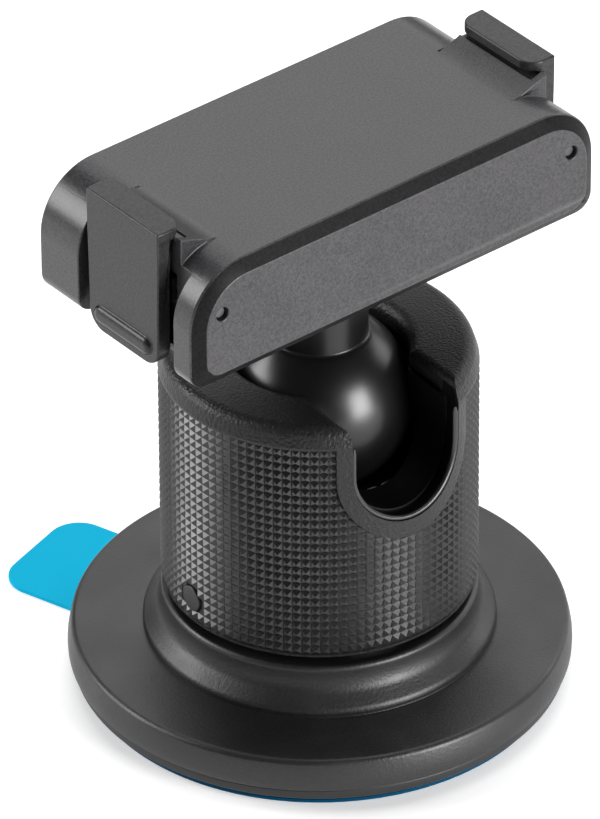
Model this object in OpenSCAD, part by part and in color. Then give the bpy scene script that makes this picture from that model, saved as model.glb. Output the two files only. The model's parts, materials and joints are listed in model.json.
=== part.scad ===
// Quick-release ball mount: a magnetic camera seat with two sprung side clips,
// on a ball stud that a notched, knurled locking collar clamps to a round
// adhesive base.  Millimetres, +Z up, origin at the centre of the underside.
// X runs along the seat from clip to clip; the collar's notch faces about -Y.

/* [Base] */
// Diameter of the round base over its rim
base_d = 43; // [41:0.5:46]
// Height of the flat top of the base above the underside
base_top_z = 4.95; // [4.6:0.05:5.4]
// Diameter of the raised ring at its top edge
ring_d = 27; // [26.6:0.1:27.4]
// Height of the top of the raised ring
ring_top_z = 9.0; // [8.8:0.1:9.2]
// Thickness of the blue release film
liner_t = 0.35; // [0.25:0.05:0.4]
// Thickness of the clear adhesive layer
adhesive_t = 0.6; // [0.4:0.05:0.65]
// Thickness of the lower plate under the base disc
plate_t = 0.95; // [0.8:0.05:1.0]
// Reach of the pull tab from the base axis
tab_reach = 29.7; // [27:0.1:33]
// Width of the pull tab
tab_w = 11.4; // [9:0.1:14]
// Direction of the pull tab, degrees from +X
tab_angle = 107.5; // [90:0.5:120]

/* [Ball joint] */
// Diameter of the ball
ball_d = 16; // [15.8:0.1:16]
// Height of the ball centre
ball_z = 27.5; // [27.3:0.1:27.5]
// Diameter of the neck above the ball
neck_d = 8.4; // [7.6:0.1:8.4]
// Diameter of the small foot ring where the neck meets the ball
neck_foot_d = 9.2; // [8.6:0.1:9.2]

/* [Locking collar] */
// Outer diameter of the collar over its knurl
collar_d = 27; // [26.6:0.1:27.4]
// Height of the bottom edge of the collar
collar_bottom_z = 9.95; // [9.8:0.05:10.1]
// Height of the top face of the collar
collar_top_z = 33; // [32.8:0.1:33.4]
// Width of the sloped band between the knurl and the top face
collar_band_w = 1.0; // [0.6:0.1:1.4]
// Height of the sloped band
collar_band_h = 1.9; // [1.4:0.1:2.2]
// Diameter of the round opening in the top
opening_d = 15.2; // [15:0.1:15.4]
// Width of the notch that the neck drops into
notch_w = 10; // [9.8:0.1:10.4]
// Height of the centre of the notch's round floor
notch_floor_z = 28.0; // [27.6:0.1:28]
// Turn of the collar about the vertical from facing square along -Y
collar_turn = -3.5; // [-10:0.5:10]
// Diameter of the plug that covers the stop screw
plug_d = 2.5; // [2.2:0.1:2.8]
// Height of the plug's centre
plug_z = 12.15; // [12:0.05:12.3]

/* [Camera seat] */
// Length of the seat from end to end
seat_l = 42.9; // [42.5:0.1:44]
// Width of the seat
seat_w = 21.1; // [20.9:0.1:22.5]
// Height of the flat top that the camera rests on
seat_top_z = 53.4; // [53.2:0.1:53.6]
// Thickness of the seat
seat_h = 9.95; // [9.9:0.05:10.1]
// Radius of the big rounding from the top to the ends
end_r = 5.5; // [5:0.1:5.5]
// Radius of the small rounding along the bottom of the ends
foot_r = 1.6; // [1.2:0.1:1.8]
// Width of the bevel on the end and on the top, beside the long faces
bevel_in = 1.2; // [0.9:0.1:1.3]
// Depth of the same bevel across the width
bevel_w = 0.75; // [0.5:0.05:1]

/* [Clips] */
// Distance between the outer faces of the two clips
clip_span = 42.3; // [42:0.1:42.6]
// Width of a clip across the seat
clip_w = 9.4; // [8.8:0.1:9.4]
// Shift of both clips off the seat's middle, towards the notch side
clip_shift = -0.7; // [-0.8:0.1:-0.5]
// Shift of the slots that the clips sit in
slot_shift = -1.4; // [-1.4:0.1:-1.1]
// Wall thickness of a clip
clip_t = 1.35; // [1.2:0.05:1.45]
// Height of the clip's top above the seat
clip_rise = 1.9; // [1.7:0.1:2.2]
// Thickness of the clip's hooked lip
lip_t = 0.9; // [0.7:0.05:1]
// Reach of the lip over the camera
lip_reach = 2.75; // [2.4:0.05:2.9]
// Drop of the clip's bottom edge below the seat's top
clip_drop = 11.4; // [11:0.1:11.6]
// Rise of the small ramp beside each clip
ramp_rise = 1.2; // [0.8:0.1:1.2]

/* [Hidden] */
$fn = 96;

base_r = base_d / 2;
ring_r = ring_d / 2;
ball_r = ball_d / 2;
neck_r = neck_d / 2;
foot_ring_r = neck_foot_d / 2;
collar_r = collar_d / 2;
opening_r = opening_d / 2;
notch_r = notch_w / 2;
eps = 0.01;               // overlap that keeps a union in one piece
fit = 0.05;               // radial clearance of a running fit

// heights of the stack under the base disc
pad_z = liner_t;
plate_z = pad_z + adhesive_t;
disc_z = plate_z + plate_t + 0.05;
floor_z = base_top_z + 0.05;      // floor of the pocket inside the ring
film_r = base_r - 1.2;
plate_r = base_r - 0.4;
rim_roll = 0.5;                   // radius of the roll on the disc's edge
step_r = 0.75;                    // rounding of the step at the ring's foot
ring_roll = 0.5;                  // rounding of the ring's top edge
step_x = ring_r + 0.8;            // centre of the step's rounding
step_z0 = base_top_z + 0.3;

// threaded post on the base
post_r = 9.8;
post_bore_r = 8.85;
stop_groove_r = 9.1;              // floor of the groove that the stop screw runs in
stop_groove_h = 3.3;
post_flange_r = 11.6;
post_top_z = 20.5;
flange_top_z = floor_z + 3.4;
thread_pitch = 1.5;
thread_depth = 0.4;
thread_z = 14.2;                  // lowest thread turn
base_screw_pcd = 20.4;
base_screw_n = 3;

// spring washers and ball seat inside the post
washer_n = 4;
washer_z = 9.4;
washer_step = 1.25;
seat_cup_z = 14.5;
seat_cup_top_z = 22.55;
seat_cup_r = 8.7;

// collar
core_r = 12.0;
core_gap = 0.03;
cap_t = 1.7;                      // thickness of the sleeve's top over the core
lip_top_z = collar_top_z - cap_t;
socket_r = ball_r + 0.08;         // spherical socket that holds the ball down
core_bore_r = post_r + 0.1;
waist_r = 8.5;                    // bore round the ball, below its middle
waist_z = 23.0;
step_z = 21.0;
edge_r = 0.6;                     // soft edge round the opening
flare_w = 0.9;                    // flare of the notch at the top face
flare_h = 1.3;
plug_r = plug_d / 2;
plug_t = 1.0;

// seat
seat_x = seat_l / 2;
seat_y = seat_w / 2;
seat_z = seat_top_z - seat_h;
cavity_x = 15.3;
cavity_y = 8.9;
roof_t = 1.0;
cover_t = 1.4;
cover_top_z = seat_z + cover_t;
boss_x = 13.0;
boss_y = 6.9;
boss_r = 1.8;
swivel_r = 3.0;                   // spigot of the stud inside the cover
swivel_head_r = 3.7;
yoke_z = 47.1;
yoke_t = 1.15;
magnet_x = 8.0;
magnet_y = 14.4;

// clips
clip_x = clip_span / 2;
clip_y = clip_w / 2;
slot_y = 6.2;                     // half width of the slot at each end
slot_x = 19.45;                   // inner wall of the slot above the hinge
pocket_x = 16.8;                  // inner wall of the hinge pocket
pocket_y = 4.95;
pocket_z = seat_z + 0.8;           // floor of the hinge pocket
mouth_x = 18.75;                  // inner edge of the mouth under it
pocket_top_z = 51.0;
ramp_x = 16.1;                    // foot of the ramp on the seat's top
ramp_y = 4.9;                     // half width of the ramp
ramp_near_y = slot_shift - ramp_y;
ramp_far_y = slot_shift + ramp_y;
ramp_relief_x = 18.3;             // where the clip's lip starts to cover the ramp
ramp_relief_y = 4.9;              // half width of the ramp's lower middle
ramp_relief_h = 0.6;
pin_x = 18.6;
pin_z = 49.25;
pin_r = 0.45;
knuckle_r = 1.15;
knuckle_gap_y = 1.7;              // half width of the gap for the spring coil
spring_wire_r = 0.2;
spring_turns = 7;
spring_lean = 10;                 // slant of the spring's long leg, degrees

// ---------------------------------------------------------------- helpers

// rounded rectangle from true arcs
module round_rect(w, h, r) {
    square([w - 2 * r, h], center = true);
    square([w, h - 2 * r], center = true);
    for (x = [-1, 1], y = [-1, 1])
        translate([x * (w / 2 - r), y * (h / 2 - r)]) circle(r = r);
}

// solid of revolution between two heights
module ring(r_out, r_in, z0, z1) {
    translate([0, 0, z0])
        difference() {
            cylinder(r = r_out, h = z1 - z0);
            translate([0, 0, -1]) cylinder(r = r_in, h = z1 - z0 + 2);
        }
}

// turns the collar's parts to face where the notch faces
module collar_frame() {
    rotate([0, 0, collar_turn]) children();
}

// U-shaped cutter for the notch, seen along Y, with flared top corners
module notch_cut(r, y0 = -collar_r - 1, y1 = 0) {
    rotate([90, 0, 0])
        translate([0, 0, -y1])
            linear_extrude(height = y1 - y0) {
                translate([0, notch_floor_z]) circle(r = r);
                translate([-r, notch_floor_z]) square([2 * r, collar_top_z - notch_floor_z + 1]);
                polygon([[-r, collar_top_z - flare_h], [-r - flare_w, collar_top_z + eps],
                         [r + flare_w, collar_top_z + eps], [r, collar_top_z - flare_h]]);
            }
}

// round bore for the stop screw, out along the collar's -X side
module side_bore(r, r0, r1) {
    translate([-r0, 0, plug_z]) rotate([0, -90, 0]) cylinder(r = r, h = r1 - r0);
}

// ---------------------------------------------------------------- base

module tab_outline(reach, w) {
    corner_r = 2.8;
    translate([reach / 2, 0])
        union() {
            square([reach - 2 * corner_r, w], center = true);
            square([reach, w - 2 * corner_r], center = true);
            for (y = [-1, 1])
                translate([reach / 2 - corner_r, y * (w / 2 - corner_r)]) circle(r = corner_r);
        }
}

module release_liner() {
    color("deepskyblue")
        linear_extrude(height = liner_t) {
            circle(r = film_r);
            rotate([0, 0, tab_angle]) tab_outline(tab_reach, tab_w);
        }
}

module adhesive_pad() {
    color("gainsboro")
        translate([0, 0, pad_z]) cylinder(r = film_r - 0.1, h = adhesive_t);
}

module base_screw_places() {
    for (i = [0 : base_screw_n - 1])
        rotate([0, 0, 30 + i * 360 / base_screw_n])
            translate([base_screw_pcd / 2, 0, 0]) children();
}

module lower_plate() {
    color("dimgray")
        difference() {
            translate([0, 0, plate_z]) cylinder(r = plate_r, h = plate_t);
            base_screw_places() translate([0, 0, plate_z - 1]) cylinder(r = 1.9, h = plate_t + 2);
        }
}

// half section of the disc and its raised ring
module base_profile() {
    roll_r = base_r - rim_roll - 0.3;
    roll_z = base_top_z - rim_roll;
    polygon([[0, disc_z], [base_r - 0.3, disc_z], [base_r, disc_z + 0.5], [base_r, disc_z + 1.3],
             [roll_r + rim_roll, roll_z], [roll_r, base_top_z], [0, base_top_z]]);
    translate([roll_r, roll_z]) circle(r = rim_roll);
    // raised ring with a rounded step at its foot and a rolled top edge
    polygon([[0, base_top_z - eps], [step_x + step_r, base_top_z - eps], [step_x + step_r, step_z0],
             [step_x, step_z0 + step_r], [ring_r + 0.35, step_z0 + step_r + 0.2],
             [ring_r + 0.1, step_z0 + step_r + 0.6], [ring_r, step_z0 + step_r + 1.2],
             [ring_r, ring_top_z - ring_roll], [ring_r - ring_roll, ring_top_z], [0, ring_top_z]]);
    translate([step_x, step_z0]) circle(r = step_r);
    translate([ring_r - ring_roll, ring_top_z - ring_roll]) circle(r = ring_roll);
}

module base_disc() {
    color("#3b3a3c")
        difference() {
            rotate_extrude() base_profile();
            translate([0, 0, floor_z]) cylinder(r = post_flange_r + 0.1, h = 10);
            base_screw_places() {
                translate([0, 0, disc_z - 1]) cylinder(r = 1.1, h = 10);
                translate([0, 0, disc_z - 1]) cylinder(r = 1.9, h = 1 + 1.3);
            }
        }
}

module base_screws() {
    color("silver")
        base_screw_places() {
            difference() {
                translate([0, 0, plate_z + 0.25]) cylinder(r = 1.8, h = disc_z + 1.3 - plate_z - 0.25);
                translate([0, 0, plate_z]) cylinder(r = 0.75, h = 1.0, $fn = 6);
            }
            translate([0, 0, disc_z + 1.3 - eps]) cylinder(r = 0.95, h = 4.4);
        }
}

// turns of a screw thread drawn as plain V ridges
module thread_rings(r_valley, r_crest, z0, z1) {
    half = abs(r_crest - r_valley);
    for (z = [z0 : thread_pitch : z1])
        rotate_extrude()
            polygon([[r_valley - 0.02 * sign(r_crest - r_valley), z - half], [r_crest, z],
                     [r_valley - 0.02 * sign(r_crest - r_valley), z + half]]);
}

module threaded_post() {
    color("darkgray")
        difference() {
            union() {
                translate([0, 0, floor_z]) cylinder(r = post_flange_r, h = flange_top_z - floor_z);
                translate([0, 0, floor_z]) cylinder(r = post_r - thread_depth, h = post_top_z - floor_z);
                thread_rings(post_r - thread_depth, post_r, thread_z, post_top_z - 1);
            }
            translate([0, 0, washer_z - 0.1]) cylinder(r = post_bore_r, h = 20);
            // groove that keeps the stop screw in
            ring(post_r + 1, stop_groove_r, plug_z - stop_groove_h / 2, plug_z + stop_groove_h / 2);
            base_screw_places() translate([0, 0, floor_z - 1]) cylinder(r = 0.95, h = 3.8);
        }
}

module spring_washers() {
    color("lightsteelblue")
        for (i = [0 : washer_n - 1]) {
            up = i % 2 == 0;
            z = washer_z + i * washer_step;
            translate([0, 0, z + (up ? 0 : washer_step)])
                mirror([0, 0, up ? 0 : 1])
                    rotate_extrude()
                        polygon([[4.2, washer_step - 0.55], [8.4, 0.02], [8.55, 0.5], [4.35, washer_step - 0.05]]);
        }
}

module ball_seat() {
    color("#232325")
        difference() {
            translate([0, 0, seat_cup_z]) cylinder(r = seat_cup_r, h = seat_cup_top_z - seat_cup_z);
            translate([0, 0, ball_z]) sphere(r = socket_r);
            translate([0, 0, seat_cup_z - 1]) cylinder(r = 2.5, h = 10);
            // chamfer that lets the neck's foot ring pass over the rim
            translate([0, 0, seat_cup_top_z - 0.6]) cylinder(r1 = 6.2, r2 = 7.4, h = 0.61);
        }
}

// ---------------------------------------------------------------- collar

module clamp_core() {
    color("#2b2b2d")
        collar_frame()
            difference() {
                translate([0, 0, collar_bottom_z + 0.6])
                    cylinder(r = core_r, h = lip_top_z - collar_bottom_z - 0.6);
                // threaded lower bore
                translate([0, 0, collar_bottom_z - 1]) cylinder(r = core_bore_r, h = step_z - collar_bottom_z + 1);
                thread_rings(core_bore_r, core_bore_r + thread_depth, thread_z + thread_pitch / 2, step_z - 1);
                // bore round the lower half of the ball, then its socket
                translate([0, 0, step_z - eps]) cylinder(r = core_bore_r - 0.6, h = waist_z - step_z + eps);
                translate([0, 0, waist_z - eps]) cylinder(r = waist_r, h = ball_z - waist_z + eps);
                translate([0, 0, ball_z]) sphere(r = socket_r);
                translate([0, 0, ball_z]) cylinder(r = opening_r, h = 10);
                notch_cut(notch_r);
                side_bore(1.25, post_r - 1, core_r + 1);
            }
}

// half section of the knurled sleeve with its cap
module sleeve_profile() {
    band_r = collar_r - collar_band_w;
    band_z = collar_top_z - collar_band_h;
    polygon([[opening_r + edge_r, lip_top_z], [core_r + core_gap, lip_top_z],
             [core_r + core_gap, collar_bottom_z], [collar_r - 0.25, collar_bottom_z],
             [collar_r, collar_bottom_z + 0.25], [collar_r, band_z],
             [collar_r - 0.25, band_z + 0.75],
             [band_r + 0.35, collar_top_z - 0.25], [band_r - 0.25, collar_top_z],
             [opening_r + edge_r, collar_top_z]]);
    translate([opening_r, lip_top_z]) square([2 * edge_r, cap_t - edge_r]);
    translate([opening_r + edge_r, collar_top_z - edge_r]) circle(r = edge_r);
}

module grip_sleeve() {
    color("#262628")
        collar_frame()
            difference() {
                rotate_extrude() sleeve_profile();
                notch_cut(notch_r);
                side_bore(plug_r, core_r - 1, collar_r + 1);
            }
}

module stop_screw() {
    color("silver")
        collar_frame()
            difference() {
                union() {
                    side_bore(1.22, post_r + 0.15, core_r);
                    side_bore(0.9, stop_groove_r + 0.15, post_r + 0.2);
                }
                translate([-core_r - eps, 0, plug_z]) rotate([0, 90, 0]) cylinder(r = 0.6, h = 1.0, $fn = 6);
            }
}

module screw_plug() {
    color("#3a3a3c")
        collar_frame() side_bore(plug_r - 0.03, core_r + core_gap, core_r + core_gap + plug_t + 0.37);
}

// ---------------------------------------------------------------- ball

module ball_stud() {
    shoulder_z = seat_z - 0.05;
    foot_z = ball_z + 6.9;
    color("#1d1d1f")
        difference() {
            union() {
                translate([0, 0, ball_z]) sphere(r = ball_r);
                translate([0, 0, ball_z]) cylinder(r = neck_r, h = shoulder_z - ball_z);
                translate([0, 0, ball_z + 4]) cylinder(r = foot_ring_r, h = foot_z - ball_z - 4);
                translate([0, 0, foot_z - eps]) cylinder(r1 = foot_ring_r, r2 = neck_r, h = 0.4);
                translate([0, 0, shoulder_z - eps]) cylinder(r = swivel_r, h = cover_t + 0.1 + eps);
            }
            translate([0, 0, shoulder_z - 7]) cylinder(r = 1.25, h = 12);
        }
}

module swivel_screw() {
    head_z = seat_z + cover_t + 0.05;
    color("silver")
        difference() {
            union() {
                translate([0, 0, head_z]) cylinder(r = swivel_head_r, h = 1.4);
                translate([0, 0, head_z - 6]) cylinder(r = 1.25, h = 6 + eps);
            }
            translate([0, 0, head_z + 0.5]) cylinder(r = 1.3, h = 2, $fn = 6);
        }
}

// ---------------------------------------------------------------- camera seat

// side view of the seat, looking along Y: x across, z up; inset draws its edges in
module seat_side(inset = 0) {
    top_r = end_r - inset;
    x1 = seat_x - inset;
    z0 = seat_z + 0.9 * inset;
    z1 = seat_top_z - inset;
    difference() {
        translate([-x1, z0]) square([2 * x1, z1 - z0]);
        for (s = [-1, 1]) {
            translate([s * (x1 - top_r / 2 + 0.5), z1 - top_r / 2 + 0.5])
                square([top_r + 1, top_r + 1], center = true);
            translate([s * (x1 - foot_r / 2 + 0.5), z0 + foot_r / 2 - 0.5])
                square([foot_r + 1, foot_r + 1], center = true);
        }
    }
    for (s = [-1, 1]) {
        translate([s * (x1 - top_r), z1 - top_r]) circle(r = top_r);
        translate([s * (x1 - foot_r), z0 + foot_r]) circle(r = foot_r);
    }
}

module seat_slab(y0, y1, inset = 0) {
    translate([0, y1, 0]) rotate([90, 0, 0]) linear_extrude(height = y1 - y0) seat_side(inset);
}

// the seat's outside, bevelled beside both long faces
module seat_outside() {
    inner_y = seat_y - bevel_w;
    seat_slab(-inner_y, inner_y);
    for (s = [-1, 1])
        hull($fn = 32) {
            seat_slab(s * inner_y - 0.01, s * inner_y + 0.01, $fn = 32);
            seat_slab(s * (seat_y - 0.01) - 0.01, s * (seat_y - 0.01) + 0.01, bevel_in, $fn = 32);
        }
}

module boss_places() {
    for (x = [-1, 1], y = [-1, 1]) translate([x * boss_x, y * boss_y, 0]) children();
}

// wedge beside each clip that fills the camera's rounded corner, lower under the lip
module ramp(s) {
    foot = seat_top_z - 3;
    difference() {
        translate([0, ramp_far_y, 0])
            rotate([90, 0, 0])
                linear_extrude(height = ramp_far_y - ramp_near_y)
                    polygon([[s * ramp_x, foot], [s * slot_x, foot],
                             [s * slot_x, seat_top_z + ramp_rise], [s * (slot_x - 0.15), seat_top_z + ramp_rise],
                             [s * ramp_x, seat_top_z]]);
        translate([s * (ramp_relief_x + 2), clip_shift, seat_top_z + ramp_relief_h + 1])
            cube([4, 2 * ramp_relief_y, 2], center = true);
    }
}

module seat_housing() {
    color("#5b5a5c")
        difference() {
            union() {
                seat_outside();
                for (s = [-1, 1]) ramp(s);
            }
            // room for the magnets, open at the bottom
            difference() {
                translate([0, 0, seat_z - 1])
                    linear_extrude(height = seat_h - roof_t + 1)
                        round_rect(2 * cavity_x, 2 * cavity_y, 1.5);
                boss_places() translate([0, 0, cover_top_z]) cylinder(r = boss_r, h = 12);
            }
            boss_places() translate([0, 0, cover_top_z - 1]) cylinder(r = 0.7, h = 5);
            for (s = [-1, 1]) {
                // slot for the clip, pocket for its hinge
                translate([s * (slot_x + 3), slot_shift, seat_z + seat_h / 2])
                    cube([6, 2 * slot_y, seat_h + 6], center = true);
                translate([s * (pocket_x + 3), clip_shift, (pocket_z + pocket_top_z) / 2])
                    cube([6, 2 * pocket_y, pocket_top_z - pocket_z], center = true);
                // mouth under the pocket, where the clip's lower end swings in
                translate([s * (mouth_x + 3), clip_shift, seat_z])
                    cube([6, 2 * pocket_y, 2.5], center = true);
                // hole for the hinge pin, through both long faces
                translate([s * pin_x, 0, pin_z]) rotate([90, 0, 0])
                    cylinder(r = pin_r + 0.04, h = seat_w + 2, center = true);
            }
        }
}

module bottom_cover() {
    color("#3b3a3c")
        difference() {
            translate([0, 0, seat_z])
                linear_extrude(height = cover_t) round_rect(2 * cavity_x - 0.2, 2 * cavity_y - 0.2, 1.4);
            translate([0, 0, seat_z - 1]) cylinder(r = swivel_r + fit, h = cover_t + 2);
            boss_places() {
                translate([0, 0, seat_z - 1]) cylinder(r = 0.85, h = cover_t + 2);
                translate([0, 0, seat_z - 1]) cylinder(r = 1.5, h = 1.8);
            }
        }
}

module cover_screws() {
    color("silver")
        boss_places()
            difference() {
                union() {
                    translate([0, 0, seat_z + 0.1]) cylinder(r = 1.45, h = 0.7);
                    translate([0, 0, seat_z + 0.8 - eps]) cylinder(r = 0.68, h = 4.2);
                }
                translate([0, 0, seat_z]) cylinder(r = 0.6, h = 0.5, $fn = 6);
            }
}

module yoke_plate() {
    color("lightslategray")
        translate([0, 0, yoke_z])
            linear_extrude(height = yoke_t) round_rect(2 * 11.0, 2 * 8.2, 1);
}

module seat_magnets() {
    top = seat_top_z - roof_t - 0.05;
    bottom = yoke_z + yoke_t;
    color("silver")
        for (s = [-1, 1])
            translate([s * (magnet_x / 2 + 1.2), 0, bottom])
                linear_extrude(height = top - bottom) round_rect(magnet_x, magnet_y, 0.8);
}

// ---------------------------------------------------------------- clips

module clip_pins() {
    color("silver")
        for (s = [-1, 1])
            translate([s * pin_x, 0, pin_z]) rotate([90, 0, 0])
                cylinder(r = pin_r, h = seat_w - 0.8, center = true);
}

// outline of the clip's wall, seen along X: y across, z up
module clip_face() {
    z0 = seat_top_z - clip_drop;
    z1 = seat_top_z + clip_rise;
    r = 1.8;
    translate([-clip_y, z0 + r]) square([clip_w, z1 - z0 - r]);
    translate([-clip_y + r, z0]) square([clip_w - 2 * r, 2 * r]);
    for (s = [-1, 1]) translate([s * (clip_y - r), z0 + r]) circle(r = r);
}

// the lip from above, its inner corners rounded
module clip_lip_outline() {
    r = 1.5;
    translate([clip_x - lip_reach / 2, 0])
        union() {
            translate([r / 2, 0]) square([lip_reach - r, clip_w], center = true);
            square([lip_reach, clip_w - 2 * r], center = true);
            for (s = [-1, 1])
                translate([-lip_reach / 2 + r, s * (clip_y - r)]) circle(r = r);
        }
}

// one clip on the +X side, about the middle of its own width
module clip() {
    rib_w = 7.4;
    rib_h = 1.7;
    rib_z = seat_top_z - 9.7;
    rib_t = 0.4;
    difference() {
        union() {
            translate([clip_x - clip_t, 0, 0])
                rotate([90, 0, 90]) linear_extrude(height = clip_t) clip_face();
            translate([0, 0, seat_top_z + clip_rise - lip_t])
                linear_extrude(height = lip_t) clip_lip_outline();
            // finger rib on the outer face
            translate([clip_x - eps, 0, rib_z])
                rotate([90, 0, 90])
                    linear_extrude(height = rib_t) round_rect(rib_w, rib_h, rib_h / 2 - 0.01);
            // hinge knuckles round the pin
            for (s = [-1, 1])
                translate([pin_x, s * (clip_y - 0.2 + knuckle_gap_y) / 2, pin_z])
                    rotate([90, 0, 0])
                        linear_extrude(height = clip_y - 0.2 - knuckle_gap_y, center = true) {
                            circle(r = knuckle_r);
                            translate([0, -knuckle_r])
                                square([clip_x - clip_t - pin_x + 0.2, 2 * knuckle_r]);
                        }
        }
        translate([pin_x, 0, pin_z]) rotate([90, 0, 0]) cylinder(r = pin_r + fit, h = 30, center = true);
    }
}

// closing spring of the clip on the +X side: a coil round the pin and its leg
module clip_spring() {
    coil_r = pin_r + 0.12 + spring_wire_r;
    pitch = 2 * spring_wire_r * 0.96;
    translate([pin_x, 0, pin_z]) {
        rotate([90, 0, 0])
            for (i = [0 : spring_turns - 1])
                translate([0, 0, (i - (spring_turns - 1) / 2) * pitch])
                    rotate_extrude() translate([coil_r, 0]) circle(r = spring_wire_r, $fn = 24);
        // long leg against the seat, short leg towards the clip below the pin
        translate([-coil_r, 0, 0])
            rotate([0, 180 + spring_lean, 0]) cylinder(r = spring_wire_r, h = 3.4, $fn = 24);
        translate([0, 0, -coil_r])
            rotate([0, 90, 0]) cylinder(r = spring_wire_r, h = 1.05, $fn = 24);
    }
}

module clip_left() {
    color("#4a494b") translate([0, clip_shift, 0]) mirror([1, 0, 0]) clip();
}

module clip_right() {
    color("#4a494b") translate([0, clip_shift, 0]) clip();
}

module clip_spring_left() {
    color("silver") translate([0, clip_shift, 0]) mirror([1, 0, 0]) clip_spring();
}

module clip_spring_right() {
    color("silver") translate([0, clip_shift, 0]) clip_spring();
}

release_liner();
adhesive_pad();
lower_plate();
base_disc();
base_screws();
threaded_post();
spring_washers();
ball_seat();
clamp_core();
grip_sleeve();
stop_screw();
screw_plug();
ball_stud();
swivel_screw();
seat_housing();
bottom_cover();
cover_screws();
yoke_plate();
seat_magnets();
clip_pins();
clip_left();
clip_right();
clip_spring_left();
clip_spring_right();
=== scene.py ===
import bpy, bmesh, json, math
from mathutils import Matrix, Vector


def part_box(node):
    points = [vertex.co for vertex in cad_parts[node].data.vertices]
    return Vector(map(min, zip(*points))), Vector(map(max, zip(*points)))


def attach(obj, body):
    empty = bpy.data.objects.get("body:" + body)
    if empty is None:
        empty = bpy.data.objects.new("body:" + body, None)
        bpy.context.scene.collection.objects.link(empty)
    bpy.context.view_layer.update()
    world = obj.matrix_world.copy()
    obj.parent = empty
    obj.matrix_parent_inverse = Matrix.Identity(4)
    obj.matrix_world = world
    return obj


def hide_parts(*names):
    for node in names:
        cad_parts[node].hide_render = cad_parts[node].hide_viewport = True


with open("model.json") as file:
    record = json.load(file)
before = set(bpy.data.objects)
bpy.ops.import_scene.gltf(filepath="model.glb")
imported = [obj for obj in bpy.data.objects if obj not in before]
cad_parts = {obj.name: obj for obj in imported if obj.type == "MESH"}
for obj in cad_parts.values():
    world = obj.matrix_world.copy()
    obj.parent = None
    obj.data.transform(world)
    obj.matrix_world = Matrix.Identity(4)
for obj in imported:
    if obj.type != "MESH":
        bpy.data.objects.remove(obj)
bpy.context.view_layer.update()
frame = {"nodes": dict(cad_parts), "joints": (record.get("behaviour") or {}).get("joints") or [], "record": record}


# Lengths in this script are millimetres; Blender's are metres.
MM = 0.001


def box_mm(node):
    """Lowest and highest corner of a CAD node, in millimetres."""
    lo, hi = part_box(node)
    return lo / MM, hi / MM


# ------------------------------------------------------------ sizes from the frame

record = frame["record"]
joint = {j["name"]: j for j in frame["joints"]}
mount = {m["name"]: m for m in record["mounts"]}

tilt_axis = joint["ball_tilt"]["axis"]
COLLAR_TURN = math.atan2(tilt_axis[1], tilt_axis[0])
BALL_Z = joint["ball_tilt"]["pos_m"][2] / MM
BALL_R = box_mm("ball_stud")[1].x

sleeve_lo, sleeve_hi = box_mm("grip_sleeve")
COLLAR_R = sleeve_hi.x
COLLAR_Z0, COLLAR_Z1 = sleeve_lo.z, sleeve_hi.z
CORE_R = box_mm("clamp_core")[1].x
CORE_TOP = box_mm("clamp_core")[1].z
CORE_Z0 = box_mm("clamp_core")[0].z

seat_lo, seat_hi = box_mm("seat_housing")
SEAT_X, SEAT_Y, SEAT_Z = seat_hi.x, seat_hi.y, seat_lo.z
SEAT_TOP = mount["camera_face"]["pos_m"][2] / MM
RAMP_TOP = seat_hi.z

pin_lo, pin_hi = box_mm("clip_pins")
PIN_R = (pin_hi.z - pin_lo.z) / 2
PIN_X = pin_hi.x - PIN_R
PIN_Z = (pin_hi.z + pin_lo.z) / 2

clip_lo, clip_hi = box_mm("clip_right")
RIB_OUT = 0.4                       # how far a clip's finger rib stands out
CLIP_X = clip_hi.x - RIB_OUT        # a clip's outer face
CLIP_Y = (clip_hi.y - clip_lo.y) / 2
CLIP_MID_Y = (clip_hi.y + clip_lo.y) / 2
CLIP_Z0, CLIP_Z1 = clip_lo.z, clip_hi.z

base_lo, base_hi = box_mm("base_disc")
BASE_R = base_hi.x
BASE_Z0 = base_lo.z
RING_TOP = base_hi.z
RING_R = COLLAR_R
BASE_TOP = box_mm("threaded_post")[0].z - 0.05

# ------------------------------------------------------------ mesh helpers


def arc(cx, cy, r, start, end, steps, ry=None):
    """Points on an arc from one angle to another, in degrees; ry makes it an ellipse."""
    ry = r if ry is None else ry
    out = []
    for i in range(steps + 1):
        a = math.radians(start + (end - start) * i / steps)
        out.append((cx + r * math.cos(a), cy + ry * math.sin(a)))
    return out


def new_object(name, verts, faces):
    """A mesh object from points in millimetres, with its normals outward."""
    mesh = bpy.data.meshes.new(name)
    mesh.from_pydata([Vector(v) * MM for v in verts], [], faces)
    bm = bmesh.new()
    bm.from_mesh(mesh)
    bmesh.ops.remove_doubles(bm, verts=bm.verts, dist=1e-7)
    bmesh.ops.recalc_face_normals(bm, faces=bm.faces)
    bm.to_mesh(mesh)
    bm.free()
    obj = bpy.data.objects.new(name, mesh)
    bpy.context.scene.collection.objects.link(obj)
    return obj


PLACE = {
    "x": lambda u, v, w: (w, u, v),
    "y": lambda u, v, w: (u, w, v),
    "z": lambda u, v, w: (u, v, w),
}


def loft(name, rings):
    """A closed solid through rings of points that match one to one."""
    n = len(rings[0])
    verts = [p for ring in rings for p in ring]
    faces = [list(range(n)), list(range((len(rings) - 1) * n, len(rings) * n))]
    for k in range(len(rings) - 1):
        for i in range(n):
            j = (i + 1) % n
            faces.append([k * n + i, k * n + j, (k + 1) * n + j, (k + 1) * n + i])
    return new_object(name, verts, faces)


def prism(name, outline, axis, lo, hi):
    """An outline drawn out along an axis, from lo to hi."""
    place = PLACE[axis]
    return loft(name, [[place(u, v, w) for u, v in outline] for w in (lo, hi)])


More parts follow.
